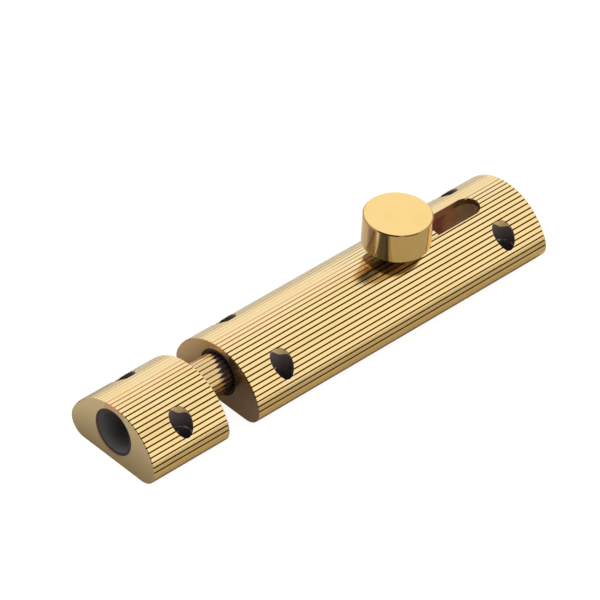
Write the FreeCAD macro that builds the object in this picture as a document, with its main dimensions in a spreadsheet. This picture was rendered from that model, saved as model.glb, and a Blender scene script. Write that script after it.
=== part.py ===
"""Barrel bolt with its keep: a reeded D-section casing, a round bolt rod that a knob slides,
and a short keep of the same section that takes the rod's nose.

Millimetres. +X runs along the bolt from the keep to the casing, +Z stands off the mounting
surface, and the origin is the centre of the casing's four fixing holes on that surface.
"""
import FreeCAD, Part
import math
import os
import Sketcher

Vector = FreeCAD.Vector
ORIGIN_POINT = (-1, 1)
H_AXIS = -1
V_AXIS = -2

os.makedirs("parts", exist_ok=True)
doc = FreeCAD.newDocument("barrel_bolt")
sheet = doc.addObject("Spreadsheet::Sheet", "Sizes")

# Driving dimensions: name, value, what it is. Places along X count from the casing's front face.
SIZES = [
    ("half_width", 16.0, "half the section's width, and the radius of its arch"),
    ("arch_height", 0.8, "centre of the arch above the base"),
    ("corner_radius", 4.75, "rounding of the two bottom corners"),
    ("casing_length", 102.0, ""),
    ("keep_length", 25.0, ""),
    ("keep_gap", 10.0, "daylight between keep and casing"),
    ("end_chamfer", 0.12, "broken edge round both end faces"),
    ("groove_width", 0.36, "reeding"),
    ("groove_depth", 0.35, ""),
    ("groove_step", 4.8, "degrees between grooves, 75 to the circle"),
    ("groove_side_count", 16.0, "grooves each side of the crest groove"),
    ("rod_groove_count", 26.0, "grooves round the rod, at the same pitch"),
    ("front_inset", 11.5, "front fixing holes"),
    ("rear_inset", 12.0, "rear fixing holes, from the rear face"),
    ("fixing_offset", 10.6, "fixing holes to the centre line"),
    ("shank_radius", 1.75, "clearance for a 3 mm wood screw"),
    ("head_radius", 3.1, "sunk bore over the screw's 6 mm head"),
    ("seat_height", 2.6, "foot of the countersunk seat"),
    ("bore_height", 8.7, "axis of the bore above the base"),
    ("bore_radius", 6.5, ""),
    ("rod_radius", 5.5, ""),
    ("rod_clearance", 0.06, "rod to the casing's bushes"),
    ("keep_clearance", 0.15, "rod to the keep's liner"),
    ("bush_recess", 0.3, "bushes stand back from the end faces"),
    ("front_bush_length", 10.0, ""),
    ("rear_bush_start", 45.0, ""),
    ("rear_bush_length", 8.0, ""),
    ("plug_length", 5.0, ""),
    ("plug_chamfer", 0.4, ""),
    ("slot_start", 54.3, ""),
    ("slot_length", 36.0, "over its round ends"),
    ("slot_half", 3.5, ""),
    ("key_play", 0.1, "key to the slot, each side"),
    ("key_length", 18.85, ""),
    ("key_seat", 12.4, "height of the flat that the key sits on"),
    ("throw", 14.0, "travel of the bolt"),
    ("rod_tail", 2.0, "rod behind the key"),
    ("nose_chamfer", 1.0, ""),
    ("knob_place", 61.0, ""),
    ("knob_radius", 9.0, ""),
    ("knob_foot", 18.8, "underside above the base"),
    ("knob_top", 27.6, ""),
    ("knob_chamfer", 0.3, ""),
    ("neck_radius", 3.0, ""),
    ("neck_seat", 16.2, "spot face in the key's top"),
    ("stud_radius", 2.0, ""),
    ("stud_foot", 5.0, ""),
    ("stud_top", 23.5, ""),
    ("stud_chamfer", 0.4, ""),
    ("pin_radius", 1.0, "dowels between rod and key"),
    ("pin_foot", 10.4, ""),
    ("pin_top", 14.6, ""),
    ("pin_front", 57.2, ""),
    ("pin_rear", 70.6, ""),
    ("spring_start", 14.0, "pocket under the rod, bolt thrown"),
    ("spring_length", 16.0, ""),
    ("spring_half", 1.5, ""),
    ("spring_thickness", 0.3, ""),
    ("spring_foot", 2.45, "lowest line of the bowed strip"),
    ("spring_bow", 1.2, ""),
    ("pocket_roof", 4.05, ""),
    ("pocket_margin", 0.25, ""),
]
for row, (name, value, note) in enumerate(SIZES, start=1):
    sheet.set(f"A{row}", name)
    sheet.set(f"B{row}", str(value))
    sheet.set(f"C{row}", note)
    sheet.setAlias(f"B{row}", name)
doc.recompute()

# Places that several pieces share, as expressions in the sheet's names.
CASING_X = "-(Sizes.front_inset + (Sizes.casing_length - Sizes.front_inset - Sizes.rear_inset) / 2)"
KEEP_X = f"{CASING_X} - Sizes.keep_gap - Sizes.keep_length"
SLOT_FRONT = "Sizes.slot_start + Sizes.slot_half"
SLOT_REAR = "Sizes.slot_start + Sizes.slot_length - Sizes.slot_half"
KEY_START = "Sizes.slot_start + Sizes.key_play"
KEY_HALF = "Sizes.slot_half - Sizes.key_play"
ROD_LENGTH = f"Sizes.throw + {KEY_START} + Sizes.key_length + Sizes.rod_tail"
ABOVE_ALL = "Sizes.knob_top"


# --- bodies and sketches -------------------------------------------------------------------

def piece(name, x="0", z="0"):
    """A body of its own, set down at x along the bolt and z above the base."""
    body = doc.addObject("PartDesign::Body", name)
    body.Label = name
    body.setExpression("Placement.Base.x", x)
    body.setExpression("Placement.Base.z", z)
    return body


def sketch_on(body, name, role, offset=("0", "0", "0"), turn="0"):
    """A sketch on one of the body's own origin planes, moved and turned within that plane."""
    plane = next(item for item in body.Origin.OriginFeatures if item.Role == role)
    sketch = body.newObject("Sketcher::SketchObject", name)
    sketch.AttachmentSupport = (plane, "")
    sketch.MapMode = "FlatFace"
    for axis, expression in zip("xyz", offset):
        sketch.setExpression(f"AttachmentOffset.Base.{axis}", expression)
    if turn != "0":
        sketch.AttachmentOffset = FreeCAD.Placement(Vector(), FreeCAD.Rotation(Vector(0, 0, 1), 1))
        sketch.setExpression("AttachmentOffset.Rotation.Angle", turn)
    return sketch


def worth(sketch, place):
    """The numbers that a pair of expressions stands for."""
    values = [sketch.evalExpression(expression) for expression in place]
    return Vector(*[float(getattr(value, "Value", value)) for value in values], 0)


def bind_along(sketch, curve, end, kind, expression):
    """Hold one end of a curve at a distance from the origin, DistanceX or DistanceY."""
    value = worth(sketch, (expression, "0")).x
    if value == 0:
        axis = V_AXIS if kind == "DistanceX" else H_AXIS
        sketch.addConstraint(Sketcher.Constraint("PointOnObject", curve, end, axis))
    else:
        index = sketch.addConstraint(Sketcher.Constraint(kind, *ORIGIN_POINT, curve, end, value))
        sketch.setExpression(f"Constraints[{index}]", expression)


def bind(sketch, curve, end, place):
    """Hold one end (or the centre, 3) of a curve at a place given as two expressions."""
    if worth(sketch, place).Length == 0:
        sketch.addConstraint(Sketcher.Constraint("Coincident", curve, end, *ORIGIN_POINT))
    else:
        bind_along(sketch, curve, end, "DistanceX", place[0])
        bind_along(sketch, curve, end, "DistanceY", place[1])


def radius(sketch, curve, expression):
    value = worth(sketch, (expression, "0")).x
    index = sketch.addConstraint(Sketcher.Constraint("Radius", curve, value))
    sketch.setExpression(f"Constraints[{index}]", expression)


def polygon(sketch, corners):
    """A closed outline of straight sides, each corner bound to its two expressions."""
    points = [worth(sketch, corner) for corner in corners]
    count = len(points)
    lines = [sketch.addGeometry(Part.LineSegment(points[i], points[(i + 1) % count]))
             for i in range(count)]
    for i, line in enumerate(lines):
        sketch.addConstraint(Sketcher.Constraint("Coincident", line, 2, lines[(i + 1) % count], 1))
        bind(sketch, line, 1, corners[i])
    return lines


def circle(sketch, centre, size):
    spot = worth(sketch, centre)
    curve = sketch.addGeometry(Part.Circle(spot, Vector(0, 0, 1), worth(sketch, (size, "0")).x))
    bind(sketch, curve, 3, centre)
    radius(sketch, curve, size)


def oblong(sketch, start, finish, half):
    """An outline with round ends whose centres are at start and finish on the sketch's H axis."""
    near = worth(sketch, (start, "0"))
    far = worth(sketch, (finish, "0"))
    size = worth(sketch, (half, "0")).x
    up = Vector(0, size, 0)
    along = Vector(size, 0, 0)
    curves = [
        sketch.addGeometry(Part.Arc(near + up, near - along, near - up)),
        sketch.addGeometry(Part.LineSegment(near - up, far - up)),
        sketch.addGeometry(Part.Arc(far - up, far + along, far + up)),
        sketch.addGeometry(Part.LineSegment(far + up, near + up)),
    ]
    near_end, low_side, far_end, high_side = curves
    for first, first_end, second, second_end in (
            (near_end, 2, low_side, 1), (low_side, 2, far_end, 1),
            (far_end, 2, high_side, 1), (high_side, 2, near_end, 1)):
        sketch.addConstraint(Sketcher.Constraint("Tangent", first, first_end, second, second_end))
    bind(sketch, near_end, 3, (start, "0"))
    bind(sketch, far_end, 3, (finish, "0"))
    sketch.addConstraint(Sketcher.Constraint("Equal", near_end, far_end))
    radius(sketch, near_end, half)


def arch_outline(sketch):
    """The D section: a flat base, two round bottom corners and one big arch over them."""
    big = sheet.half_width
    small = sheet.corner_radius
    rise = small - sheet.arch_height
    reach = math.sqrt((big - small) ** 2 - rise ** 2)
    lean = math.atan2(rise, reach)
    normal = Vector(0, 0, 1)
    corner = Part.Circle(Vector(reach, small, 0), normal, small)
    arch = Part.Circle(Vector(0, sheet.arch_height, 0), normal, big)
    other = Part.Circle(Vector(-reach, small, 0), normal, small)
    base = sketch.addGeometry(Part.LineSegment(Vector(-reach, 0, 0), Vector(reach, 0, 0)))
    right = sketch.addGeometry(Part.ArcOfCircle(corner, -math.pi / 2, lean))
    crown = sketch.addGeometry(Part.ArcOfCircle(arch, lean, math.pi - lean))
    left = sketch.addGeometry(Part.ArcOfCircle(other, math.pi - lean, 1.5 * math.pi))
    for first, second in ((base, right), (right, crown), (crown, left)):
        sketch.addConstraint(Sketcher.Constraint("Tangent", first, 2, second, 1))
    sketch.addConstraint(Sketcher.Constraint("Tangent", left, 2, base, 1))
    sketch.addConstraint(Sketcher.Constraint("Equal", right, left))
    sketch.addConstraint(Sketcher.Constraint("PointOnObject", base, 1, H_AXIS))
    sketch.addConstraint(Sketcher.Constraint("PointOnObject", base, 2, H_AXIS))
    bind(sketch, crown, 3, ("0", "Sizes.arch_height"))
    radius(sketch, crown, "Sizes.half_width")
    radius(sketch, right, "Sizes.corner_radius")


# --- features ------------------------------------------------------------------------------

def pad(body, name, sketch, length):
    feature = body.newObject("PartDesign::Pad", name)
    feature.Profile = sketch
    feature.setExpression("Length", length)
    doc.recompute()
    return feature


def pocket(body, name, sketch, along_normal=True):
    """Cut the sketch right through the body on one side of its plane, and see that it cut."""
    before = body.Shape.Volume
    feature = body.newObject("PartDesign::Pocket", name)
    feature.Profile = sketch
    feature.Type = "ThroughAll"
    feature.Reversed = along_normal
    doc.recompute()
    if not body.Shape.Volume < before:
        raise RuntimeError(f"{name} cuts nothing")
    return feature


def revolve(body, name, sketch, axis, cut=False):
    """Turn the sketch a full circle about one of its own axes, as material or as a cut."""
    before = body.Shape.Volume if cut else 0
    feature = body.newObject("PartDesign::Groove" if cut else "PartDesign::Revolution", name)
    feature.Profile = sketch
    feature.ReferenceAxis = (sketch, [axis])
    feature.Angle = 360
    doc.recompute()
    if cut and not body.Shape.Volume < before:
        raise RuntimeError(f"{name} cuts nothing")
    return feature


def reeding(body, centre_height, size, first_turn, total_turn, count):
    """Straight grooves along X, evenly stepped round an axis at centre_height above the body's."""
    sketch = sketch_on(body, f"{body.Name}_groove", "YZ_Plane", ("0", centre_height, "0"), first_turn)
    polygon(sketch, [
        ("-Sizes.groove_width / 2", f"{size} - Sizes.groove_depth"),
        ("Sizes.groove_width / 2", f"{size} - Sizes.groove_depth"),
        ("Sizes.groove_width / 2", f"{size} + Sizes.groove_depth"),
        ("-Sizes.groove_width / 2", f"{size} + Sizes.groove_depth"),
    ])
    first = pocket(body, f"{body.Name}_first_groove", sketch)
    before = body.Shape.Volume
    pattern = body.newObject("PartDesign::PolarPattern", f"{body.Name}_reeding")
    pattern.Originals = [first]
    pattern.Axis = (sketch, ["N_Axis"])
    pattern.setExpression("Angle", total_turn)
    pattern.setExpression("Occurrences", count)
    body.Tip = pattern
    doc.recompute()
    if not body.Shape.Volume < before:
        raise RuntimeError(f"{body.Name} reeding cuts nothing")


def arch_reeding(body, side_count):
    """Reeding of the arch: a groove on the crest and side_count grooves each side of it."""
    span = f"Sizes.groove_step * {side_count}"
    reeding(body, "Sizes.arch_height", "Sizes.half_width", f"-{span}", f"2 * {span}",
            f"2 * {side_count} + 1")


def fixing_hole(body, name, x, y):
    """A stepped screw hole: clearance bore, countersunk seat, and a bore open above for the head."""
    sketch = sketch_on(body, name, "XZ_Plane", (x, "0", f"-({y})"))
    seat_top = "Sizes.seat_height + Sizes.head_radius - Sizes.shank_radius"
    polygon(sketch, [
        ("0", "-Sizes.seat_height"),
        ("Sizes.shank_radius", "-Sizes.seat_height"),
        ("Sizes.shank_radius", "Sizes.seat_height"),
        ("Sizes.head_radius", seat_top),
        ("Sizes.head_radius", ABOVE_ALL),
        ("0", ABOVE_ALL),
    ])
    revolve(body, f"{name}_cut", sketch, "V_Axis", cut=True)


def chamfer_ends(body, feature):
    """Break the edges round both end faces."""
    ends = [f"Face{i}" for i, face in enumerate(feature.Shape.Faces, start=1)
            if abs(face.normalAt(0, 0).x) > 0.99]
    chamfer = body.newObject("PartDesign::Chamfer", f"{body.Name}_ends")
    chamfer.Base = (feature, ends)
    chamfer.setExpression("Size", "Sizes.end_chamfer")
    doc.recompute()


def reeded_block(name, x, length, holes):
    """A length of the reeded D section with its bore and its fixing holes."""
    body = piece(name, x)
    section = sketch_on(body, f"{name}_section", "YZ_Plane")
    arch_outline(section)
    block = pad(body, f"{name}_block", section, length)
    chamfer_ends(body, block)
    arch_reeding(body, "Sizes.groove_side_count")
    bore = sketch_on(body, f"{name}_bore", "YZ_Plane")
    circle(bore, ("0", "Sizes.bore_height"), "Sizes.bore_radius")
    pocket(body, f"{name}_bored", bore)
    for number, place in enumerate(holes, start=1):
        for side, sign in (("left", ""), ("right", "-")):
            fixing_hole(body, f"{name}_{side}_hole{number}", place, f"{sign}Sizes.fixing_offset")
    return body


def tube(name, x, length, outer, inner):
    """A plain turned sleeve on the bolt's axis."""
    body = piece(name, x, "Sizes.bore_height")
    ring = sketch_on(body, f"{name}_ring", "YZ_Plane")
    circle(ring, ("0", "0"), outer)
    circle(ring, ("0", "0"), inner)
    pad(body, f"{name}_sleeve", ring, length)
    return body


# --- the pieces ----------------------------------------------------------------------------

def make_casing():
    holes = ["Sizes.front_inset", "Sizes.casing_length - Sizes.rear_inset"]
    body = reeded_block("casing", CASING_X, "Sizes.casing_length", holes)
    slot = sketch_on(body, "casing_slot", "XY_Plane", ("0", "0", "Sizes.bore_height"))
    oblong(slot, SLOT_FRONT, SLOT_REAR, "Sizes.slot_half")
    pocket(body, "casing_slotted", slot)
    return body


def make_keep():
    return reeded_block("keep", KEEP_X, "Sizes.keep_length", ["Sizes.keep_length / 2"])


def make_bushes():
    inner = "Sizes.rod_radius + Sizes.rod_clearance"
    front = tube("front_bush", f"{CASING_X} + Sizes.bush_recess", "Sizes.front_bush_length",
                 "Sizes.bore_radius", inner)
    rear = tube("rear_bush", f"{CASING_X} + Sizes.rear_bush_start", "Sizes.rear_bush_length",
                "Sizes.bore_radius", inner)
    keep = tube("keep_bush", f"{KEEP_X} + Sizes.bush_recess",
                "Sizes.keep_length - 2 * Sizes.bush_recess", "Sizes.bore_radius",
                "Sizes.rod_radius + Sizes.keep_clearance")
    return [front, rear, keep]


def make_end_plug():
    """The turned disc that closes the casing's bore, with a broken edge on its outer face."""
    body = piece("end_plug", f"{CASING_X} + Sizes.casing_length - Sizes.plug_length",
                 "Sizes.bore_height")
    profile = sketch_on(body, "plug_profile", "XZ_Plane")
    polygon(profile, [
        ("0", "0"),
        ("0", "Sizes.bore_radius"),
        ("Sizes.plug_length - Sizes.plug_chamfer", "Sizes.bore_radius"),
        ("Sizes.plug_length", "Sizes.bore_radius - Sizes.plug_chamfer"),
        ("Sizes.plug_length", "0"),
    ])
    revolve(body, "plug_turned", profile, "H_Axis")
    return body


def make_bolt_rod():
    """The reeded rod, modelled about its own axis from its nose: a flat and holes for the key
    on top, a pocket for the friction spring below."""
    body = piece("bolt_rod", f"{CASING_X} - Sizes.throw", "Sizes.bore_height")
    disc = sketch_on(body, "rod_disc", "YZ_Plane")
    circle(disc, ("0", "0"), "Sizes.rod_radius")
    pad(body, "rod_bar", disc, ROD_LENGTH)
    nose = sketch_on(body, "rod_nose", "XZ_Plane")
    outside = "Sizes.rod_radius + Sizes.nose_chamfer"
    polygon(nose, [
        ("-Sizes.nose_chamfer", "Sizes.rod_radius - 2 * Sizes.nose_chamfer"),
        ("Sizes.nose_chamfer * 2", outside),
        ("-Sizes.nose_chamfer", outside),
    ])
    revolve(body, "rod_nose_cut", nose, "H_Axis", cut=True)
    reeding(body, "0", "Sizes.rod_radius", "0", "360", "Sizes.rod_groove_count")

    flat = sketch_on(body, "rod_flat", "XY_Plane", ("0", "0", "Sizes.key_seat - Sizes.bore_height"))
    flat_front = f"Sizes.throw + {KEY_START} - Sizes.key_play"
    flat_end = f"{ROD_LENGTH} + Sizes.rod_tail"
    polygon(flat, [
        (flat_front, "-Sizes.bore_radius"),
        (flat_end, "-Sizes.bore_radius"),
        (flat_end, "Sizes.bore_radius"),
        (flat_front, "Sizes.bore_radius"),
    ])
    pocket(body, "rod_flat_cut", flat)

    stud = sketch_on(body, "rod_stud", "XY_Plane", ("0", "0", "Sizes.stud_foot - Sizes.bore_height"))
    circle(stud, ("Sizes.throw + Sizes.knob_place", "0"), "Sizes.stud_radius")
    pocket(body, "rod_stud_hole", stud)
    pins = sketch_on(body, "rod_pins", "XY_Plane", ("0", "0", "Sizes.pin_foot - Sizes.bore_height"))
    for place in ("Sizes.pin_front", "Sizes.pin_rear"):
        circle(pins, (f"Sizes.throw + {place}", "0"), "Sizes.pin_radius")
    pocket(body, "rod_pin_holes", pins)

    recess = sketch_on(body, "rod_pocket", "XY_Plane",
                       ("0", "0", "Sizes.pocket_roof - Sizes.bore_height"))
    near = "Sizes.throw + Sizes.spring_start - Sizes.pocket_margin"
    far = "Sizes.throw + Sizes.spring_start + Sizes.spring_length + Sizes.pocket_margin"
    side = "Sizes.spring_half + Sizes.pocket_margin"
    polygon(recess, [(near, f"-({side})"), (far, f"-({side})"), (far, side), (near, side)])
    pocket(body, "rod_pocket_cut", recess, along_normal=False)
    return body


def make_slide_key():
    """The block that fills the slot round the knob: its top carries the casing's own arch and
    reeding, its front end is round like the slot and its rear end is square."""
    body = piece("slide_key", f"{CASING_X} + {KEY_START}")
    plan = sketch_on(body, "key_plan", "XY_Plane", ("0", "0", "Sizes.key_seat"))
    half = worth(plan, (KEY_HALF, "0")).x
    length = worth(plan, ("Sizes.key_length", "0")).x
    tip = Vector(0, 0, 0)
    left = Vector(half, half, 0)
    right = Vector(half, -half, 0)
    nose = plan.addGeometry(Part.Arc(left, tip, right))
    low = plan.addGeometry(Part.LineSegment(right, Vector(length, -half, 0)))
    back = plan.addGeometry(Part.LineSegment(Vector(length, -half, 0), Vector(length, half, 0)))
    high = plan.addGeometry(Part.LineSegment(Vector(length, half, 0), left))
    plan.addConstraint(Sketcher.Constraint("Tangent", nose, 2, low, 1))
    plan.addConstraint(Sketcher.Constraint("Coincident", low, 2, back, 1))
    plan.addConstraint(Sketcher.Constraint("Coincident", back, 2, high, 1))
    plan.addConstraint(Sketcher.Constraint("Tangent", high, 2, nose, 1))
    bind(plan, nose, 3, (KEY_HALF, "0"))
    radius(plan, nose, KEY_HALF)
    bind(plan, back, 1, ("Sizes.key_length", f"-({KEY_HALF})"))
    bind(plan, back, 2, ("Sizes.key_length", KEY_HALF))
    pad(body, "key_block", plan, "Sizes.knob_foot - Sizes.key_seat")

    crest = sketch_on(body, "key_crest", "YZ_Plane")
    wide = sheet.slot_half
    spring_line = sheet.arch_height + math.sqrt(sheet.half_width ** 2 - wide ** 2)
    high_line = sheet.knob_top
    arch = Part.Circle(Vector(0, sheet.arch_height, 0), Vector(0, 0, 1), sheet.half_width)
    start = math.atan2(spring_line - sheet.arch_height, wide)
    curve = crest.addGeometry(Part.ArcOfCircle(arch, start, math.pi - start))
    rise = crest.addGeometry(Part.LineSegment(Vector(-wide, spring_line, 0), Vector(-wide, high_line, 0)))
    lid = crest.addGeometry(Part.LineSegment(Vector(-wide, high_line, 0), Vector(wide, high_line, 0)))
    fall = crest.addGeometry(Part.LineSegment(Vector(wide, high_line, 0), Vector(wide, spring_line, 0)))
    for first, second in ((curve, rise), (rise, lid), (lid, fall)):
        crest.addConstraint(Sketcher.Constraint("Coincident", first, 2, second, 1))
    crest.addConstraint(Sketcher.Constraint("Coincident", fall, 2, curve, 1))
    crest.addConstraint(Sketcher.Constraint("Vertical", rise))
    crest.addConstraint(Sketcher.Constraint("Vertical", fall))
    bind(crest, curve, 3, ("0", "Sizes.arch_height"))
    radius(crest, curve, "Sizes.half_width")
    bind(crest, lid, 1, ("-Sizes.slot_half", ABOVE_ALL))
    bind(crest, lid, 2, ("Sizes.slot_half", ABOVE_ALL))
    pocket(body, "key_crested", crest)
    arch_reeding(body, "2")

    spot = sketch_on(body, "key_spot", "XY_Plane", ("0", "0", "Sizes.neck_seat"))
    centre = (f"Sizes.knob_place - ({KEY_START})", "0")
    circle(spot, centre, "Sizes.neck_radius")
    pocket(body, "key_spot_face", spot)
    stud = sketch_on(body, "key_stud", "XY_Plane", ("0", "0", "Sizes.key_seat"))
    circle(stud, centre, "Sizes.stud_radius")
    pocket(body, "key_stud_hole", stud)
    pins = sketch_on(body, "key_pins_plan", "XY_Plane", ("0", "0", "Sizes.pin_top"))
    for place in ("Sizes.pin_front", "Sizes.pin_rear"):
        circle(pins, (f"{place} - ({KEY_START})", "0"), "Sizes.pin_radius")
    pocket(body, "key_pin_holes", pins, along_normal=False)
    return body


def turned_on_z(name, x, corners):
    """A solid of revolution about a vertical axis at x, from its half outline."""
    body = piece(name, x)
    profile = sketch_on(body, f"{name}_profile", "XZ_Plane")
    polygon(profile, corners)
    revolve(body, f"{name}_turned", profile, "V_Axis")
    return body


def make_knob():
    inner_rim = "Sizes.knob_radius - Sizes.knob_chamfer"
    return turned_on_z("knob", f"{CASING_X} + Sizes.knob_place", [
        ("Sizes.stud_radius", "Sizes.neck_seat"),
        ("Sizes.neck_radius", "Sizes.neck_seat"),
        ("Sizes.neck_radius", "Sizes.knob_foot"),
        (inner_rim, "Sizes.knob_foot"),
        ("Sizes.knob_radius", "Sizes.knob_foot + Sizes.knob_chamfer"),
        ("Sizes.knob_radius", "Sizes.knob_top - Sizes.knob_chamfer"),
        (inner_rim, "Sizes.knob_top"),
        ("0", "Sizes.knob_top"),
        ("0", "Sizes.stud_top"),
        ("Sizes.stud_radius", "Sizes.stud_top"),
    ])


def make_knob_stud():
    tip = "Sizes.stud_radius - Sizes.stud_chamfer"
    return turned_on_z("knob_stud", f"{CASING_X} + Sizes.knob_place", [
        ("0", "Sizes.stud_foot"),
        (tip, "Sizes.stud_foot"),
        ("Sizes.stud_radius", "Sizes.stud_foot + Sizes.stud_chamfer"),
        ("Sizes.stud_radius", "Sizes.stud_top - Sizes.stud_chamfer"),
        (tip, "Sizes.stud_top"),
        ("0", "Sizes.stud_top"),
    ])


def make_key_pins():
    """The two dowels between rod and key, as one group of separate solids."""
    dowels = []
    for name, place in (("front_dowel", "Sizes.pin_front"), ("rear_dowel", "Sizes.pin_rear")):
        dowel = doc.addObject("Part::Cylinder", name)
        dowel.setExpression("Radius", "Sizes.pin_radius")
        dowel.setExpression("Height", "Sizes.pin_top - Sizes.pin_foot")
        dowel.setExpression("Placement.Base.x", place)
        dowel.setExpression("Placement.Base.z", "Sizes.pin_foot")
        dowels.append(dowel)
    group = doc.addObject("Part::Compound", "key_pins")
    group.Label = "key_pins"
    group.Links = dowels
    group.setExpression("Placement.Base.x", CASING_X)
    doc.recompute()
    return group


def make_friction_spring():
    """A bowed strip in the rod's pocket: its middle bears on the bore and its ends on the rod."""
    body = piece("friction_spring", f"{CASING_X} + Sizes.spring_start + Sizes.spring_length / 2")
    bow = sketch_on(body, "spring_bow", "XZ_Plane")
    chord = sheet.spring_length / 2
    rise = sheet.spring_bow
    curve = (chord ** 2 + rise ** 2) / (2 * rise)
    lean = math.asin(chord / curve)
    centre = Vector(0, sheet.spring_foot + curve, 0)
    normal = Vector(0, 0, 1)
    down = 1.5 * math.pi
    outer = Part.ArcOfCircle(Part.Circle(centre, normal, curve), down - lean, down + lean)
    inner_circle = Part.Circle(centre, normal, curve - sheet.spring_thickness)
    inner = Part.ArcOfCircle(inner_circle, down - lean, down + lean)
    low = bow.addGeometry(outer)
    high = bow.addGeometry(inner)
    right = bow.addGeometry(Part.LineSegment(outer.EndPoint, inner.EndPoint))
    left = bow.addGeometry(Part.LineSegment(inner.StartPoint, outer.StartPoint))
    for first, first_end, second, second_end in (
            (low, 2, right, 1), (right, 2, high, 2), (high, 1, left, 1), (left, 2, low, 1)):
        bow.addConstraint(Sketcher.Constraint("Coincident", first, first_end, second, second_end))
    size = "((Sizes.spring_length / 2) ^ 2 + Sizes.spring_bow ^ 2) / (2 * Sizes.spring_bow)"
    bind(bow, low, 3, ("0", f"Sizes.spring_foot + {size}"))
    bow.addConstraint(Sketcher.Constraint("Coincident", high, 3, low, 3))
    radius(bow, low, size)
    radius(bow, high, f"{size} - Sizes.spring_thickness")
    bow.addConstraint(Sketcher.Constraint("PointOnObject", low, 3, right))
    bow.addConstraint(Sketcher.Constraint("PointOnObject", low, 3, left))
    bind_along(bow, low, 1, "DistanceX", "-Sizes.spring_length / 2")
    bind_along(bow, low, 2, "DistanceX", "Sizes.spring_length / 2")
    strip = pad(body, "spring_strip", bow, "2 * Sizes.spring_half")
    strip.Midplane = True
    doc.recompute()
    return body


pieces = [make_casing(), make_keep(), *make_bushes(), make_end_plug(), make_bolt_rod(),
          make_slide_key(), make_knob(), make_knob_stud(), make_key_pins(), make_friction_spring()]
doc.recompute()

loose = [item.Name for item in doc.Objects
         if item.TypeId == "Sketcher::SketchObject" and not item.FullyConstrained]
if loose:
    raise RuntimeError(f"not fully constrained: {loose}")
for item in doc.Objects:
    if "Invalid" in item.State or "Error" in item.State:
        raise RuntimeError(f"{item.Name} failed: {item.State}")
for item in pieces:
    if item.Shape.isNull() or not item.Shape.isValid():
        raise RuntimeError(f"{item.Label} has no valid shape")
for item in pieces:
    item.Shape.exportStep(os.path.join("parts", f"{item.Label}.step"))
    box = item.Shape.BoundBox
    print(f"{item.Label:16s} {len(item.Shape.Solids)} solid(s) {item.Shape.Volume:9.1f} mm3  "
          f"x {box.XMin:7.2f} {box.XMax:7.2f}  y {box.YMin:6.2f} {box.YMax:6.2f}  "
          f"z {box.ZMin:6.2f} {box.ZMax:6.2f}")
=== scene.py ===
"""The barrel bolt's looks: reeded and polished brass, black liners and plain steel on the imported
CAD pieces, in a white studio.

Metres, in the part's own frame: +X along the bolt from keep to casing, +Z off the mounting
surface, origin at the centre of the casing's fixing holes.
"""
import math

import bpy
from mathutils import Matrix, Vector


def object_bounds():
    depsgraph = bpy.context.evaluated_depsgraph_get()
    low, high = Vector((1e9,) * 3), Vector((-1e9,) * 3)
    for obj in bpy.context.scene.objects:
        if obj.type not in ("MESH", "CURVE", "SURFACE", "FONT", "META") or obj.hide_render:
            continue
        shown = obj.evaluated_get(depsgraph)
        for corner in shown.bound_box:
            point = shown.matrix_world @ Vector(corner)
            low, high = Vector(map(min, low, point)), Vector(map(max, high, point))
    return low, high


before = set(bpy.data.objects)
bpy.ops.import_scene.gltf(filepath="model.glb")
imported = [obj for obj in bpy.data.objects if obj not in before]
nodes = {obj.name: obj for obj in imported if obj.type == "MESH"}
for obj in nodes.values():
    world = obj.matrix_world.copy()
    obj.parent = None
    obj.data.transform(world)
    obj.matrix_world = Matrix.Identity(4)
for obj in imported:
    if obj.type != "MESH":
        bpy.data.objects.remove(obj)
cad_box = [list(corner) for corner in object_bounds()]

MM = 0.001

# The D section's arch, its reeding, and the bores, as the CAD has them.
ARCH_RADIUS = 16.0 * MM
ARCH_HEIGHT = 0.8 * MM
ROD_RADIUS = 5.5 * MM
BORE_RADIUS = 6.5 * MM
BORE_HEIGHT = 8.7 * MM
CORNER_RADIUS = 4.75 * MM
LAST_GROOVE_HEIGHT = 3.9 * MM
CASING_PITCH = math.radians(4.8)
ROD_PITCH = 2 * math.pi / 26
GROOVE_HALF_WIDTH = 0.18 * MM
HOLE_RADIUS = 3.1 * MM
HOLE_OFFSET = 10.6 * MM
CASING_HOLE_X = 39.25 * MM
KEEP_HOLE_X = 73.25 * MM
SLOT_HALF_WIDTH = 3.5 * MM
# Height of the painted glints in the screw holes.
GLINT_HEIGHT = 8.1 * MM
MOUTH_X = -50.75 * MM
KNOB_BASE = 18.8 * MM

# Smooth steps between tones: each one's low end and high end, then the values it starts and stops
# at where they aren't 0 and 1. Along X:
BORE_PALER = (33 * MM, 36.5 * MM)
BORE_PALEST = (38 * MM, 42 * MM)
SLOT_DARKER = (33 * MM, 36 * MM)
MOUTH_EDGE = (MOUTH_X - 0.4 * MM, MOUTH_X + 0.4 * MM)
# Along Y:
TONGUE_SIDE = (-1 * MM, 1 * MM, 1.7 * MM, 0)
CREEP = (-4.5 * MM, 4.0 * MM, 4.2 * MM, 0.8 * MM)
# Along Y, as shares of the section's radius:
NEAR_PART = (-0.19, 0.125)
LOW_BACK_PART = (0.6, 0.78)
LAND_PART = (-0.8, 0.1)
FACE_PART = (-0.4, 0.0)
# Along Z:
SLOT_RISE = (BORE_HEIGHT, BORE_HEIGHT + 1 * MM)
REEDED_RISE = (LAST_GROOVE_HEIGHT - 0.1 * MM, LAST_GROOVE_HEIGHT)
KNOB_RISE = (KNOB_BASE, KNOB_BASE + 0.05 * MM)
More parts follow.
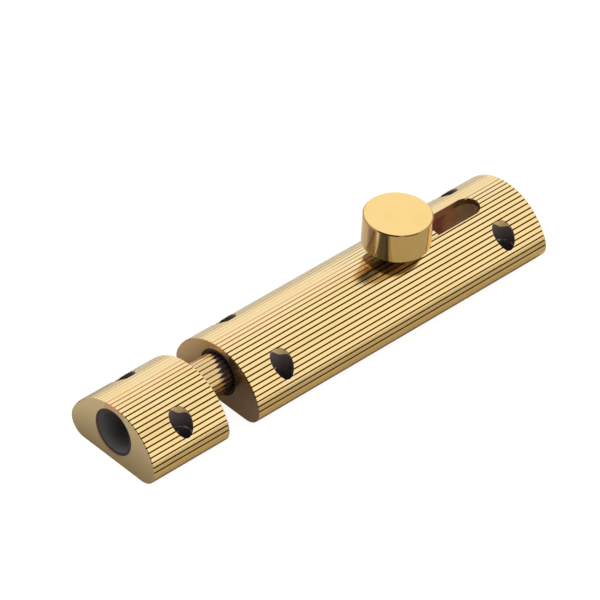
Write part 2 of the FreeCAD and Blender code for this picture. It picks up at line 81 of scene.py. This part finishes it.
# Away from the middle of the slot, the bore, a screw hole or the painted glints in it:
SLOT_EDGE = (SLOT_HALF_WIDTH + 0.02 * MM, SLOT_HALF_WIDTH + 0.06 * MM)
BORE_EDGE = (BORE_RADIUS + 0.01 * MM, BORE_RADIUS + 0.08 * MM)
HOLE_EDGE = (HOLE_RADIUS + 0.01 * MM, HOLE_RADIUS + 0.06 * MM)
RIM_EDGE = (HOLE_RADIUS + 0.12 * MM, HOLE_RADIUS + 0.18 * MM)
RIM_SIDE = (-0.95 * HOLE_RADIUS, -0.75 * HOLE_RADIUS)
GLINT_EDGE = (0.2 * MM, 0.35 * MM)
# Below the surface:
WALL_DEPTH = (0.03 * MM, 0.08 * MM)
GROOVE_DEPTH = (0.10 * MM, 0.20 * MM)
PIT_DEPTH = (0.1 * MM, 0.25 * MM)
# On one axis of the surface's normal:
END_TURN = (0.55, 0.65)
BACK_TURN = (-0.1, 0.1)
WALL_TURN = (0.12, 0.2)
PLUG_TURN = (-0.6, -0.5)
PAINTED_TURN = (-0.1, 0.1)
PAINTED_LEVEL = (0.1, 0.2)
NEAR_START = (-0.56, -0.53)
PALE_START = (-0.46, -0.42)
DARK_START = (-0.24, -0.10)
FAR_START = (0.08, 0.26)
RIM_START = (0.15, 0.3)
RIM_STOP = (0.85, 0.97)

# Noises: their scales, per metre, the finer ones' detail, and the steps read from them.
PATCHES = 90.0
KNOB_PATCHES = 160.0
# Scale of the painted glints' noise.
GLINT_NOISE = 900.0
PLASTIC_GRAIN = 1500.0
STREAKS = (40.0, 2600.0, 2600.0)
TURNING = (400.0, 900.0, 900.0)
HAIRLINES = (300.0, 300.0, 3000.0)
STEEL_GRAIN = (400.0, 2500.0, 2500.0)
FINE = 4.0
WARM_TONE = (0.38, 0.66, 0, 0.5)
TURNED_TONE = (0.3, 0.7, 0, 0.6)
KNOB_TONE = (0.35, 0.7)
# Steps of the painted glints' noise.
GLINT_BREAKS = (0.5, 0.56)

# Roughness.
LAND_ROUGH = (0.10, 0.24)
GROOVE_ROUGH = 0.42
END_ROUGH = 0.26
# Roughness of the painted shade at the casing's mouth.
MOUTH_SHADE_ROUGH = 0.4
SLOT_ROUGH = 0.45
BORE_ROUGH = 0.5
HOLE_ROUGH = (0.55, 0.4)
KNOB_ROUGH = (0.05, 0.13)
DULL_ROUGH = 0.45
PLASTIC_ROUGH = (0.5, 0.68)
STEEL_ROUGH = (0.2, 0.36)
STUDIO_ROUGH = 0.9

# Height of the fine relief that the noises give each surface, and its strength.
DRAWN_RELIEF = 0.004 * MM
BUFFED_RELIEF = 0.002 * MM
PLASTIC_RELIEF = 0.01 * MM
RELIEF_STRENGTH = 0.5
BUFFED_STRENGTH = 0.4

# The tongue of painted reflection in a screw hole's wall: its direction on X and Y, and how it
# narrows.
TONGUE_X = 0.5
TONGUE_Y = 0.87
TONGUE_POWER = 5.0

# The share of the pitch that carries painted shade beside a groove, how far the painted shade at
# the casing's mouth runs out along the rod's grooves, and how much painted shade darkens the rod.
EDGE_SHARE = 0.14
CREEP_LIFT = 0.55
ROD_SHADE_SHARE = 0.4

# Linear colours.
LAND_NEAR = (0.985, 0.75, 0.40, 1)
# Painted shade beside the grooves on the near side.
EDGE_SHADE = (0.985, 0.64, 0.15, 1)
# A less saturated tone on the far side, painted for the light there.
LAND_FAR_LIGHT = (0.95, 0.76, 0.43, 1)
LAND_WARM = (0.93, 0.66, 0.30, 1)
# Painted shade in the grooves' walls.
WALL_SHADE = (0.95, 0.45, 0.03, 1)
# A painted highlight on the grooves' walls past the crest.
WALL_HIGHLIGHT = (1.0, 0.92, 0.74, 1)
# Painted shade in the grooves' bottoms.
GROOVE_SHADE = (0.03, 0.011, 0.0, 1)
END_FACE = (0.90, 0.70, 0.39, 1)
# Painted shade on the casing's end faces: on their far side, then on their near side.
FAR_FACE_SHADE = (0.86, 0.58, 0.29, 1)
SHADED_FACE = (0.72, 0.54, 0.43, 1)
# Painted shade: the whole rod a little darker, then much darker at the casing's mouth.
ROD_SHADE = (0.55, 0.36, 0.18, 1)
MOUTH_SHADE = (0.10, 0.070, 0.060, 1)
# Painted shade in the slot's sides and darker at their rear; then painted shade in the bore's front
# and painted light that pales it towards its rear.
SLOT_WALL_SHADE = (0.86, 0.53, 0.30, 1)
SLOT_END_SHADE = (0.36, 0.25, 0.11, 1)
BORE_SHADE = (0.66, 0.25, 0.20, 1)
BORE_LIGHT = (1.0, 0.72, 0.40, 1)
BORE_REAR_LIGHT = (1.0, 0.96, 0.84, 1)
# Painted light and shade in the screw holes: a highlight on the rim, a reflection in the upper
# wall, shade deep inside and glints.
RIM_HIGHLIGHT = (1.0, 0.90, 0.72, 1)
HOLE_LIT = (1.0, 0.73, 0.36, 1)
HOLE_SHADE = (0.17, 0.135, 0.13, 1)
GLINT = (0.95, 0.90, 0.86, 1)
KNOB = (0.985, 0.695, 0.285, 1)
KNOB_WARM = (0.965, 0.67, 0.26, 1)
# Painted shade under the knob, and a painted dark reflection in its rim.
UNDERSIDE_SHADE = (0.30, 0.22, 0.16, 1)
KNOB_RIM_REFLECTION = (0.42, 0.26, 0.10, 1)

# Painted reflections: the bands on the knob's -X side, in turn from its near end to its far end.
BAND_NEAR = (0.66, 0.54, 0.42, 1)
BAND_PALE = (0.98, 0.86, 0.62, 1)
BAND_DARK = (0.27, 0.16, 0.085, 1)
BAND_FAR = (0.60, 0.38, 0.14, 1)

# Pairs that a grain runs between.
ACETAL = ((0.050, 0.046, 0.044, 1), (0.066, 0.061, 0.058, 1))
# Painted light: a little paler away from the end faces.
ACETAL_LIT = ((0.19, 0.175, 0.17, 1), (0.255, 0.24, 0.23, 1))
STEEL = ((0.46, 0.46, 0.47, 1), (0.66, 0.66, 0.67, 1))

# The table's painted light and shade close to the object and clear of it, each on the camera's side
# and behind.
TABLE_CLOSE = ((0.57, 0.485, 0.305, 1), (0.235, 0.225, 0.21, 1))
TABLE_CLEAR = ((0.40, 0.36, 0.27, 1), (0.56, 0.56, 0.54, 1))
# A painted shadow on the table under the object.
FOOTPRINT_SHADOW = (0.26, 0.22, 0.18, 1)

# Soft grey cards in the white sky, for the dark band in the knob's side and what the knob mirrors
# into the reeding before it: the direction of each one's middle, the cosines at its outer and
# inner edge, and its strength.
CARDS = (((-0.83, -0.34, 0.45), 0.76, 0.88, 0.10), ((-0.637, -0.09, 0.766), 0.88, 0.95, 0.12),
         ((0.12, -0.57, 0.81), 0.905, 0.955, 0.42))


class Graph:
    """Short calls for adding shader nodes to one tree."""

    def __init__(self, tree):
        self.nodes = tree.nodes
        self.links = tree.links

    def feed(self, socket, value):
        if isinstance(value, bpy.types.NodeSocket):
            self.links.new(value, socket)
        else:
            socket.default_value = value

    def node(self, kind, inputs=None, **settings):
        made = self.nodes.new(kind)
        for name, value in settings.items():
            setattr(made, name, value)
        for name, value in (inputs or {}).items():
            self.feed(made.inputs[name], value)
        return made

    def math(self, operation, *values):
        made = self.nodes.new("ShaderNodeMath")
        made.operation = operation
        for socket, value in zip(made.inputs, values):
            self.feed(socket, value)
        return made.outputs[0]

    def step(self, value, low, high, start=0.0, end=1.0):
        """start up to low, end from high, and a smooth step between."""
        made = self.node("ShaderNodeMapRange", {
            "Value": value, "From Min": low, "From Max": high, "To Min": start, "To Max": end,
        }, interpolation_type="SMOOTHSTEP")
        return made.outputs["Result"]

    # A mix node has sockets for every kind of value, so the two below pick theirs by number.
    def mix(self, factor, first, second):
        made = self.nodes.new("ShaderNodeMix")
        made.data_type = "RGBA"
        self.feed(made.inputs[0], factor)
        self.feed(made.inputs[6], first)
        self.feed(made.inputs[7], second)
        return made.outputs[2]

    def blend(self, factor, first, second):
        made = self.nodes.new("ShaderNodeMix")
        made.data_type = "FLOAT"
        self.feed(made.inputs[0], factor)
        self.feed(made.inputs[2], first)
        self.feed(made.inputs[3], second)
        return made.outputs[0]

    def noise(self, vector, scale, detail=3.0):
        made = self.node("ShaderNodeTexNoise", {"Vector": vector, "Scale": scale, "Detail": detail})
        return made.outputs["Fac"]

    def stretched(self, vector, along):
        """The vector scaled on each axis, so that a noise read from it runs in streaks."""
        return self.node("ShaderNodeMapping", {"Vector": vector, "Scale": along}).outputs["Vector"]

    def both(self, *masks):
        result = masks[0]
        for mask in masks[1:]:
            result = self.math("MULTIPLY", result, mask)
        return result

    def away(self, mask):
        return self.math("SUBTRACT", 1.0, mask)


def material(name):
    made = bpy.data.materials.new(name)
    made.use_nodes = True
    made.node_tree.nodes.clear()
    return made, Graph(made.node_tree)


def surface(g, inputs):
    """The material's one principled shader, joined to its output."""
    shader = g.node("ShaderNodeBsdfPrincipled", inputs)
    out = g.node("ShaderNodeOutputMaterial")
    g.links.new(shader.outputs[0], out.inputs["Surface"])


def relief(g, height, distance, strength=1.0):
    return g.node("ShaderNodeBump", {"Height": height, "Distance": distance, "Strength": strength})


def distance_from(g, first, second):
    """Length of the pair (first, second)."""
    return g.math("SQRT", g.math("ADD", g.math("MULTIPLY", first, first),
                                 g.math("MULTIPLY", second, second)))


def hole_place(g, x, y, hole_x):
    """A point's place on X and on Y from the nearest screw hole's axis."""
    return [g.math("SUBTRACT", place, g.math("MULTIPLY", g.math("SIGN", place), middle))
            for place, middle in ((x, hole_x), (y, HOLE_OFFSET))]


def axes(g, vector):
    """The X, Y and Z of a vector."""
    return g.node("ShaderNodeSeparateXYZ", {"Vector": vector}).outputs


def parts(shares, radius):
    """Two shares of a radius, as lengths."""
    return [share * radius for share in shares]


def depth_below(g, y, z, radius, height):
    """How far a point lies below the round surface and, on the D section, below the rounded corner
    that follows the arch down to the base."""
    depth = g.math("SUBTRACT", radius, distance_from(g, y, g.math("SUBTRACT", z, height)))
    if radius != ARCH_RADIUS:
        return depth
    reach = radius - CORNER_RADIUS
    rise = CORNER_RADIUS - height
    corner_y = math.sqrt(reach**2 - rise**2)
    inset = distance_from(g, g.math("SUBTRACT", g.math("ABSOLUTE", y), corner_y),
                          g.math("SUBTRACT", z, CORNER_RADIUS))
    above = g.math("GREATER_THAN", z, height + radius * rise / reach)
    return g.blend(above, g.math("SUBTRACT", CORNER_RADIUS, inset), depth)


def land_paint(g, place, y, radius, streaks, edge):
    """Bright lands in soft patches of tone, streaked along X by drawing and buffing, with painted
    shade at their edges on the near side and a less saturated tone on the far side, painted for the
    light there."""
    tone = g.blend(0.5, g.noise(place, PATCHES, FINE), streaks)
    color = g.mix(g.step(y, *parts(LAND_PART, radius)), LAND_NEAR, LAND_FAR_LIGHT)
    color = g.mix(g.step(tone, *WARM_TONE), color, LAND_WARM)
    return g.mix(edge, color, EDGE_SHADE)


def face_paint(g, place, y, radius, faces):
    """Plain machined ends, in one tone on the near side and another on the far side."""
    turned = g.noise(g.stretched(place, TURNING), 1.0, FINE)
    face = g.mix(g.step(y, *parts(FACE_PART, radius)), *faces)
    return g.mix(g.step(turned, *TURNED_TONE), face, LAND_WARM)


def paint_mouth_shade(g, color, rough, tooth, x, y):
    """Painted shade: the whole rod a little darker, and much darker and matt at the casing's mouth,
    running out along the grooves.
    """
    creep = g.math("MULTIPLY", g.math("ADD", tooth, CREEP_LIFT), g.step(y, *CREEP))
    matt_and_painted = g.step(g.math("ADD", x, creep), *MOUTH_EDGE)
    color = g.mix(matt_and_painted, g.mix(ROD_SHADE_SHARE, color, ROD_SHADE), MOUTH_SHADE)
    return color, g.blend(matt_and_painted, rough, MOUTH_SHADE_ROUGH)


def bore_paint(g, color, rough, side, x, y, z, upward):
    """A matt bore, in painted shade at its front and painted light that pales it towards its rear,
    and painted shade in the slot's sides, darker towards their rear.
    """
    across = g.math("ABSOLUTE", y)
    in_slot = g.both(g.step(across, *SLOT_EDGE, 1, 0),
                     g.step(g.math("ABSOLUTE", upward), *WALL_TURN, 1, 0), g.step(z, *SLOT_RISE))
    from_axis = distance_from(g, y, g.math("SUBTRACT", z, BORE_HEIGHT))
    bore = g.both(g.step(from_axis, *BORE_EDGE, 1, 0), side)
    bore_light = g.mix(g.step(x, *BORE_PALEST), BORE_LIGHT, BORE_REAR_LIGHT)
    color = g.mix(bore, color, g.mix(g.step(x, *BORE_PALER), BORE_SHADE, bore_light))
    walls = g.mix(g.step(x, *SLOT_DARKER), SLOT_WALL_SHADE, SLOT_END_SHADE)
    return g.mix(in_slot, color, walls), g.blend(in_slot, rough, SLOT_ROUGH), bore


def hole_paint(g, color, rough, bore, depth, place, hole_x):
    """Screw holes with painted shade deep inside, a painted highlight on the rim, a tongue of
    painted reflection in the upper wall and a few painted glints lower down."""
    x, y, z = axes(g, place)
    along, across = hole_place(g, x, y, hole_x)
    away = distance_from(g, along, across)
    hole = g.step(away, *HOLE_EDGE, 1, 0)
    rim = g.both(g.step(away, *RIM_EDGE, 1, 0), g.away(hole), g.step(across, *RIM_SIDE, 1, 0))
    toward = g.math("DIVIDE", g.math("ADD", g.math("MULTIPLY", along, TONGUE_X),
                                     g.math("MULTIPLY", across, TONGUE_Y)), HOLE_RADIUS)
    tongue = g.both(g.math("POWER", g.math("MAXIMUM", toward, 0.0), TONGUE_POWER),
                    g.step(y, *TONGUE_SIDE))
    pit = g.both(hole, g.step(g.math("SUBTRACT", depth, tongue), *PIT_DEPTH))
    from_glint_marks = g.math("ABSOLUTE", g.math("SUBTRACT", z, GLINT_HEIGHT))
    glint_marks = g.both(g.step(from_glint_marks, *GLINT_EDGE, 1, 0),
                       g.step(g.noise(place, GLINT_NOISE, 1.0), *GLINT_BREAKS))
    color = g.mix(rim, color, RIM_HIGHLIGHT)
    color = g.mix(hole, color, g.mix(pit, HOLE_LIT, g.mix(glint_marks, HOLE_SHADE, GLINT)))
    rough = g.blend(hole, g.blend(bore, rough, BORE_ROUGH), g.blend(pit, *HOLE_ROUGH))
    return color, rough, hole


def reeded_brass(name, radius, height, pitch, hole_x=None, faces=(END_FACE, END_FACE),
                 mouth_shaded=False):
    """Drawn brass with bright lands, grooves in painted shade and plain end faces in the tones
    given.
    With hole_x it also has the bore and the screw holes, with painted light and shade, and the last
    flag paints shade on the stretch at the casing's mouth."""
    made, g = material(name)
    coordinates = g.node("ShaderNodeTexCoord")
    place = coordinates.outputs["Object"]
    x, y, z = axes(g, place)
    facing, across, upward = axes(g, coordinates.outputs["Normal"])
    end_face = g.step(g.math("ABSOLUTE", facing), *END_TURN)
    side = g.away(end_face)
    reeded = side
    if radius == ARCH_RADIUS:
        reeded = g.both(side, g.step(z, *REEDED_RISE))

    # Painted shade darkens the grooves on the near side and, from behind, the lowest ones; past the
    # crest a painted highlight pales their walls, so they hardly show.
    near = g.step(y, *parts(NEAR_PART, radius), 1, 0)
    low_back = g.both(g.step(across, *BACK_TURN), g.step(y, *parts(LOW_BACK_PART, radius)))
    groove_shading = g.math("MAXIMUM", near, low_back)
    turn = g.math("DIVIDE", g.math("ARCTAN2", y, g.math("SUBTRACT", z, height)), pitch)
    tooth = g.math("ABSOLUTE", g.math("SUBTRACT", g.math("FRACT", turn), 0.5))
    lip = 0.5 - GROOVE_HALF_WIDTH / (radius * pitch)
    depth = depth_below(g, y, z, radius, height)
    wall = g.both(g.step(depth, *WALL_DEPTH), reeded)
    groove = g.both(g.step(depth, *GROOVE_DEPTH), reeded, groove_shading)

    streaks = g.noise(g.stretched(place, STREAKS), 1.0)
    # Painted shade beside the grooves on the near side.
    edge = g.both(g.step(tooth, lip - EDGE_SHARE, lip), reeded, near)
    color = land_paint(g, place, y, radius, streaks, edge)
    color = g.mix(end_face, color, face_paint(g, place, y, radius, faces))
    rough = g.blend(end_face, g.blend(streaks, *LAND_ROUGH), END_ROUGH)
    # Painted shade in the grooves, and a painted highlight on their walls past the crest.
    color = g.mix(wall, color, g.mix(groove_shading, WALL_HIGHLIGHT, WALL_SHADE))
    color = g.mix(groove, color, GROOVE_SHADE)
    rough = g.blend(groove, rough, GROOVE_ROUGH)
    # Painted shade on the rod at the casing's mouth.
    if mouth_shaded:
        color, rough = paint_mouth_shade(g, color, rough, tooth, x, y)
    metal = 1.0
    if hole_x is not None:
        color, rough, bore = bore_paint(g, color, rough, side, x, y, z, upward)
        color, rough, hole = hole_paint(g, color, rough, bore, depth, place, hole_x)
        metal = g.both(g.away(bore), g.away(hole))

    bump = relief(g, streaks, DRAWN_RELIEF, RELIEF_STRENGTH)
    surface(g, {"Base Color": color, "Metallic": metal, "Roughness": rough,
                "Normal": bump.outputs[0]})
    return made


def knob_paint(g, color, place, normal):
    """The knob's painted light and shade: a painted dark reflection in the rim, painted shade on
    the matt underside and, on the side that faces -X, bands of painted reflection."""
    outward, sideways, upward = axes(g, normal)
    band_reflections = g.mix(g.step(sideways, *DARK_START), BAND_PALE,
                  g.mix(g.step(sideways, *FAR_START), BAND_DARK, BAND_FAR))
    band_reflections = g.mix(g.step(sideways, *PALE_START), BAND_NEAR, band_reflections)
    painted = g.both(g.step(outward, *PAINTED_TURN, 1, 0), g.step(sideways, *NEAR_START),
                     g.step(g.math("ABSOLUTE", upward), *PAINTED_LEVEL, 1, 0))
    color = g.mix(painted, color, band_reflections)
    rim = g.both(g.step(upward, *RIM_START), g.step(upward, *RIM_STOP, 1, 0))
    color = g.mix(rim, color, KNOB_RIM_REFLECTION)
    matt_and_painted = g.step(axes(g, place)["Z"], *KNOB_RISE, 1, 0)
    return g.mix(matt_and_painted, color, UNDERSIDE_SHADE), matt_and_painted


def polished_brass(name, knob):
    """Bright turned brass with faint buffing, for the knob and for the plug in the bore, whose face
    towards -X is matt and painted pale, painted light as at the bore's rear.
    """
    made, g = material(name)
    coordinates = g.node("ShaderNodeTexCoord")
    place = coordinates.outputs["Object"]
    patches = g.noise(place, KNOB_PATCHES, FINE)
    hairlines = g.noise(g.stretched(place, HAIRLINES), 1.0)
    color = g.mix(g.step(patches, *KNOB_TONE), KNOB, KNOB_WARM)
    metal = 1.0
    if knob:
        color, matt_and_painted = knob_paint(g, color, place, coordinates.outputs["Normal"])
    else:
        # The plug's face towards -X is matt and painted pale: painted light, as at the bore's rear.
        matt_and_painted = g.step(axes(g, coordinates.outputs["Normal"])["X"], *PLUG_TURN, 1, 0)
        color = g.mix(matt_and_painted, color, BORE_REAR_LIGHT)
        metal = g.away(matt_and_painted)
    bump = relief(g, hairlines, BUFFED_RELIEF, BUFFED_STRENGTH)
    surface(g, {"Base Color": color, "Metallic": metal, "Normal": bump.outputs[0],
                "Roughness": g.blend(matt_and_painted, g.blend(hairlines, *KNOB_ROUGH), DULL_ROUGH)})
    return made


def black_acetal(name):
    """Matt black machined plastic, with painted light that makes it a little paler away from its
    end faces.
    """
    made, g = material(name)
    coordinates = g.node("ShaderNodeTexCoord")
    place = coordinates.outputs["Object"]
    facing = axes(g, coordinates.outputs["Normal"])["X"]
    end_face = g.step(g.math("ABSOLUTE", facing), *END_TURN)
    grain = g.noise(place, PLASTIC_GRAIN)
    ring = g.mix(grain, *ACETAL)
    lit_walls = g.mix(grain, *ACETAL_LIT)
    bump = relief(g, grain, PLASTIC_RELIEF, RELIEF_STRENGTH)
    surface(g, {"Base Color": g.mix(end_face, lit_walls, ring), "Normal": bump.outputs[0],
                "Roughness": g.blend(grain, *PLASTIC_ROUGH)})
    return made


def plain_steel(name):
    """Bright drawn steel."""
    made, g = material(name)
    place = g.node("ShaderNodeTexCoord").outputs["Object"]
    grain = g.noise(g.stretched(place, STEEL_GRAIN), 1.0)
    color = g.mix(grain, *STEEL)
    bump = relief(g, grain, DRAWN_RELIEF, RELIEF_STRENGTH)
    surface(g, {"Base Color": color, "Metallic": 1.0, "Roughness": g.blend(grain, *STEEL_ROUGH),
                "Normal": bump.outputs[0]})
    return made


def dress(node, finish):
    mesh = nodes[node].data
    mesh.materials.clear()
    mesh.materials.append(finish)


# The casing's end faces carry painted shade.
dress("casing", reeded_brass("casing_brass", ARCH_RADIUS, ARCH_HEIGHT, CASING_PITCH, CASING_HOLE_X,
                             faces=(SHADED_FACE, FAR_FACE_SHADE)))
dress("keep", reeded_brass("keep_brass", ARCH_RADIUS, ARCH_HEIGHT, CASING_PITCH, KEEP_HOLE_X))
dress("slide_key", reeded_brass("key_brass", ARCH_RADIUS, ARCH_HEIGHT, CASING_PITCH))
# The rod carries painted shade, darkest at the casing's mouth.
dress("bolt_rod", reeded_brass("rod_brass", ROD_RADIUS, BORE_HEIGHT, ROD_PITCH, mouth_shaded=True))
for node in ("knob", "end_plug"):
    dress(node, polished_brass(f"{node}_polished", node == "knob"))
for node in ("keep_bush", "front_bush", "rear_bush"):
    dress(node, black_acetal(f"{node}_acetal"))
for node in ("knob_stud", "key_pins", "friction_spring"):
    dress(node, plain_steel(f"{node}_steel"))


# --- studio ----------------------------------------------------------------------------------

FLOOR_SIDE = 3.0
TABLE_HEIGHT = -0.2 * MM
FLOOR_GREY = (0.3, 0.3, 0.3, 1)
FLOOR_GLOW = 0.88
WHITE = (1, 1, 1, 1)

# Where the table's tones change: at the object's edge, clear of it, and behind the camera's side.
FOOT_REACH = (0.0, 1.0 * MM)
CLEAR_REACH = (0.0, 12 * MM)
BEHIND = (-6 * MM, 6 * MM)

# The table's painted glow: at the foot and around it, then the stretch beside the casing's back.
FOOT_GLOW = (0.04, 0.12)
BACK_REACH = (2 * MM, 9 * MM, 0, 0.26)
BACK_SIDE = (12 * MM, 16 * MM)
BACK_LENGTH = (-60 * MM, -45 * MM)

# The camera: degrees, then metres, then the sensor and lens in millimetres.
AZIMUTH = 46.2086
ELEVATION = 39.7944
ROLL = 4.0
TARGET = Vector((-23.278, 0, 17.252)) * MM
DISTANCE = 1.224686
SENSOR = 36
LENS = 293.716


def make_plane(name, height, finish):
    """A wide level plane, as part of the studio."""
    mesh = bpy.data.meshes.new(name)
    corners = [(sx * FLOOR_SIDE, sy * FLOOR_SIDE, height)
               for sx, sy in ((-1, -1), (1, -1), (1, 1), (-1, 1))]
    mesh.from_pydata(corners, [], [(0, 1, 2, 3)])
    plane = bpy.data.objects.new(name, mesh)
    bpy.context.scene.collection.objects.link(plane)
    mesh.materials.append(finish)
    return plane


def make_floor():
    """The pale floor that the camera sees, over the greyer table that the brass mirrors."""
    pale, g = material("pale_floor")
    surface(g, {"Base Color": FLOOR_GREY, "Roughness": STUDIO_ROUGH, "Emission Color": WHITE,
                "Emission Strength": FLOOR_GLOW})
    floor = make_plane("floor", 0.0, pale)
    floor.visible_glossy = False
    floor.visible_diffuse = False
    floor.visible_shadow = False

    grey, g = material("grey_table")
    low, high = (Vector(corner) for corner in cad_box)
    middle = (low + high) / 2
    half = (high - low) / 2
    x, y = axes(g, g.node("ShaderNodeTexCoord").outputs["Object"])[:2]
    beyond = []
    for place, centre, reach in ((x, middle.x, half.x), (y, middle.y, half.y)):
        off_centre = g.math("ABSOLUTE", g.math("SUBTRACT", place, centre))
        beyond.append(g.math("MAXIMUM", g.math("SUBTRACT", off_centre, reach), 0.0))
    distance = distance_from(g, *beyond)
    behind = g.math("MAXIMUM", g.step(y, *BEHIND), g.step(x, low.x - MM, low.x, 1, 0))
    # Painted shade on the table: a shadow at the footprint, and tones close to the object apart
    # from those clear of it.
    shade = g.mix(g.step(distance, *FOOT_REACH), FOOTPRINT_SHADOW,
                  g.mix(g.step(distance, *CLEAR_REACH), g.mix(behind, *TABLE_CLOSE),
                        g.mix(behind, *TABLE_CLEAR)))
    # Painted light: a faint glow, stronger beside the casing's back, keeps the far flank as pale
    # as the photo's.
    glow = g.math("ADD", g.step(distance, *FOOT_REACH, *FOOT_GLOW),
                  g.both(g.step(distance, *BACK_REACH), g.step(y, *BACK_SIDE),
                         g.step(x, *BACK_LENGTH)))
    surface(g, {"Base Color": shade, "Roughness": STUDIO_ROUGH, "Emission Color": WHITE,
                "Emission Strength": glow})
    table = make_plane("table", TABLE_HEIGHT, grey)
    table.visible_camera = False


def make_world():
    """A white sky with the grey cards in it."""
    world = bpy.data.worlds.new("studio")
    bpy.context.scene.world = world
    world.use_nodes = True
    world.node_tree.nodes.clear()
    g = Graph(world.node_tree)
    direction = g.node("ShaderNodeTexCoord").outputs["Generated"]
    strength = 1.0
    for middle, outer, inner, dimmest in CARDS:
        card = g.node("ShaderNodeVectorMath", {0: direction, 1: middle}, operation="DOT_PRODUCT")
        dimmed = g.step(card.outputs["Value"], outer, inner, 1.0, dimmest)
        strength = g.math("MINIMUM", strength, dimmed)
    background = g.node("ShaderNodeBackground", {"Color": WHITE, "Strength": strength})
    out = g.node("ShaderNodeOutputWorld")
    g.links.new(background.outputs[0], out.inputs["Surface"])


def make_camera():
    """Left of the front and above it, with a long lens."""
    azimuth = math.radians(AZIMUTH)
    elevation = math.radians(ELEVATION)
    roll = math.radians(ROLL)
    back = Vector((-math.sin(azimuth) * math.cos(elevation),
                   -math.cos(azimuth) * math.cos(elevation), math.sin(elevation)))
    level = Vector((math.cos(azimuth), -math.sin(azimuth), 0))
    upward = back.cross(level)
    right = level * math.cos(roll) + upward * math.sin(roll)
    above = upward * math.cos(roll) - level * math.sin(roll)
    data = bpy.data.cameras.new("camera")
    data.sensor_width = SENSOR
    data.lens = LENS
    camera = bpy.data.objects.new("camera", data)
    bpy.context.scene.collection.objects.link(camera)
    turn = Matrix((right, above, back)).transposed()
    camera.matrix_world = Matrix.Translation(TARGET + back * DISTANCE) @ turn.to_4x4()
    bpy.context.scene.camera = camera


make_floor()
make_world()
make_camera()
bpy.context.scene.view_settings.view_transform = "Standard"
